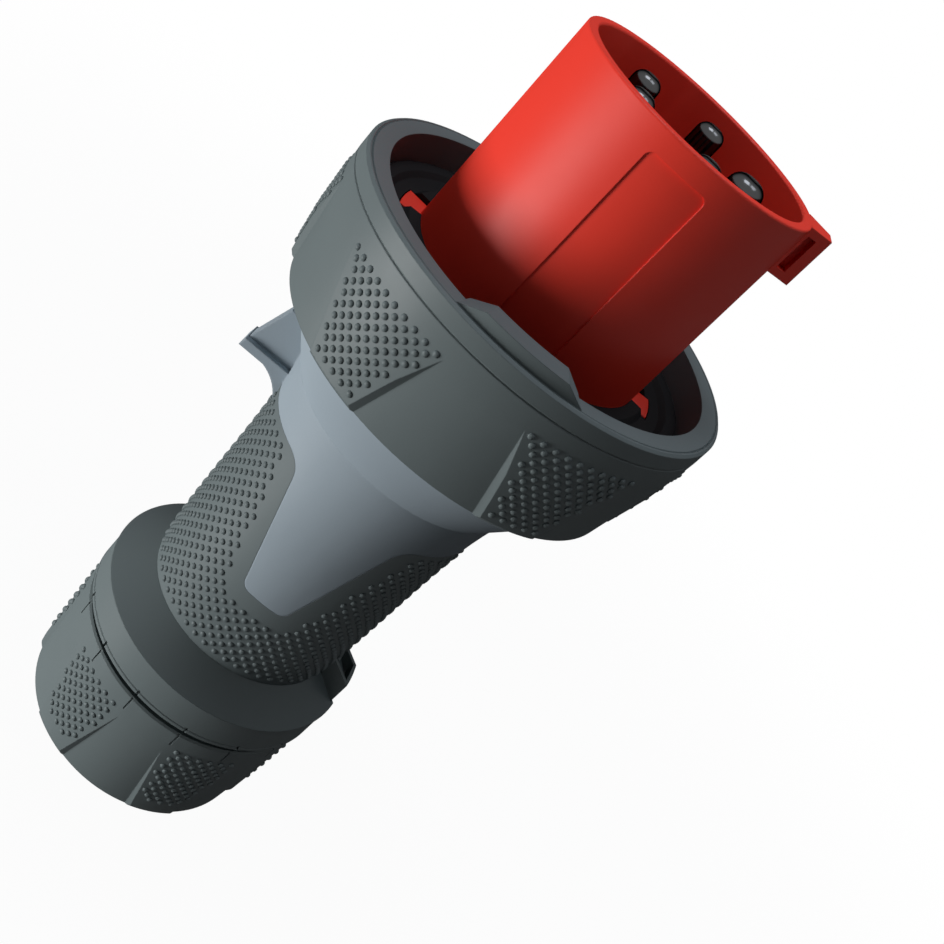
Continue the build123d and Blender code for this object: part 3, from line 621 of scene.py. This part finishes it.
def dots(name, node, body, slot, sizes):
    """Cover one CAD piece with dots and let them ride on its body."""
    helper = bpy.data.objects.new(name + "_helper", bpy.data.meshes.new(name + "_helper"))
    scene.collection.objects.link(helper)
    modifier = helper.modifiers.new("raised_dots", "NODES")
    modifier.node_group = raised_dots
    values = {"Surface": frame["nodes"][node], "Finish": finishes[slot], **dot_size, **sizes}
    for label, value in values.items():
        set_input(modifier, label, value)
    piece = real_mesh(name, helper)
    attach(piece, body)
    print(name, len(piece.data.vertices) // dome_corners, "dots")
    return piece


dots("ring_dots", "bayonet_ring", "locking_ring", "dark_moulding", {
    "Pads": 6, "Columns": 12, "Rows": 14, "First Angle": pad_angle,
    "Pitch Angle": radians(3.6), "Row Pitch": 1.83 * mm, "First Row": 185.7 * mm,
    "Half Range": radians(16.4), "Narrowing": radians(360.0), "Full Behind": nowhere,
    "Start Radius": 64.0 * mm, "Margin": 1.05 * mm})
dots("nut_dots", "gland_nut", "nut", "dark_moulding", {
    "Pads": 6, "Columns": 10, "Rows": 14, "First Angle": pad_angle,
    "Pitch Angle": radians(5.28), "Row Pitch": 1.83 * mm, "First Row": 31.0 * mm,
    "Half Range": radians(16.2), "Narrowing": radians(240.0), "Full Behind": nowhere,
    "Start Radius": 46.0 * mm, "Margin": 1.05 * mm})
dots("grip_dots", "soft_grip", "handle", "soft_touch", {
    "Pads": 2, "Columns": 28, "Rows": 32, "First Angle": pi / 2,
    "Pitch Angle": pi / 26, "Row Pitch": 1.95 * mm, "First Row": 122.5 * mm,
    "Half Range": radians(48.0), "Narrowing": radians(-560.0), "Full Behind": 81.0 * mm,
    "Start Radius": 40.0 * mm, "Margin": 1.4 * mm})

# %% [markdown]
# A black ring lies in the seam between the collar and the nut. It is painted shade: a dark piece
# in the black rubber finish, put into the groove so that the seam looks deep and black. A torus
# from
# Blender's own menu would do, but laying out the corners one by one shows how any round mesh is
# built. Both loops close by counting past the last corner back to the first.

# %% Add the black ring that paints the seam's shade
seam_radius = 36.7 * mm
seam_section = 0.8 * mm
seam_height = 39.15 * mm
turns = 120
sides = 12


def plain_piece(name, points, faces, smooth, body, slot):
    """Make a mesh piece that rides on a body and has one of the finishes."""
    mesh = bpy.data.meshes.new(name)
    mesh.from_pydata(points, [], faces)
    mesh.materials.append(finishes[slot])
    mesh.polygons.foreach_set("use_smooth", [smooth] * len(faces))
    piece = bpy.data.objects.new(name, mesh)
    scene.collection.objects.link(piece)
    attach(piece, body)
    print(name, len(faces), "faces")
    return piece


points = []
faces = []
for step in range(turns):
    bearing = 2 * pi * step / turns
    near = step * sides
    far = (step + 1) % turns * sides
    for corner in range(sides):
        around = 2 * pi * corner / sides
        reach = seam_radius + seam_section * cos(around)
        points.append((reach * cos(bearing), reach * sin(bearing),
                       seam_height + seam_section * sin(around)))
        beside = (corner + 1) % sides
        faces.append((near + corner, far + corner, far + beside, near + beside))
# painted shade: the black ring fills the seam's groove so that it reads dark
plain_piece("seam_ring", points, faces, True, "handle", "black_rubber")

# %% [markdown]
# The shroud's key is hollow, as such mouldings are. A thin web stands across the hollow, so that
# it looks dark from both sides. It is a plain box, and its height is taken from the shroud's rim.

# %% Add the key's web
web_width = 1.0 * mm
web_depth = 2.7 * mm
web_foot = -35.8 * mm
web_top = 2.1 * mm
web_bottom = 12.4 * mm
shroud_low, shroud_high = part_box("front_shroud")
points = [(x, y, shroud_high.z - drop) for x in (-web_width / 2, web_width / 2)
          for y in (web_foot - web_depth, web_foot) for drop in (web_bottom, web_top)]
faces = [(0, 1, 3, 2), (4, 6, 7, 5), (0, 4, 5, 1), (2, 3, 7, 6), (0, 2, 6, 4), (1, 5, 7, 3)]
plain_piece("key_web", points, faces, False, "handle", "red_moulding")
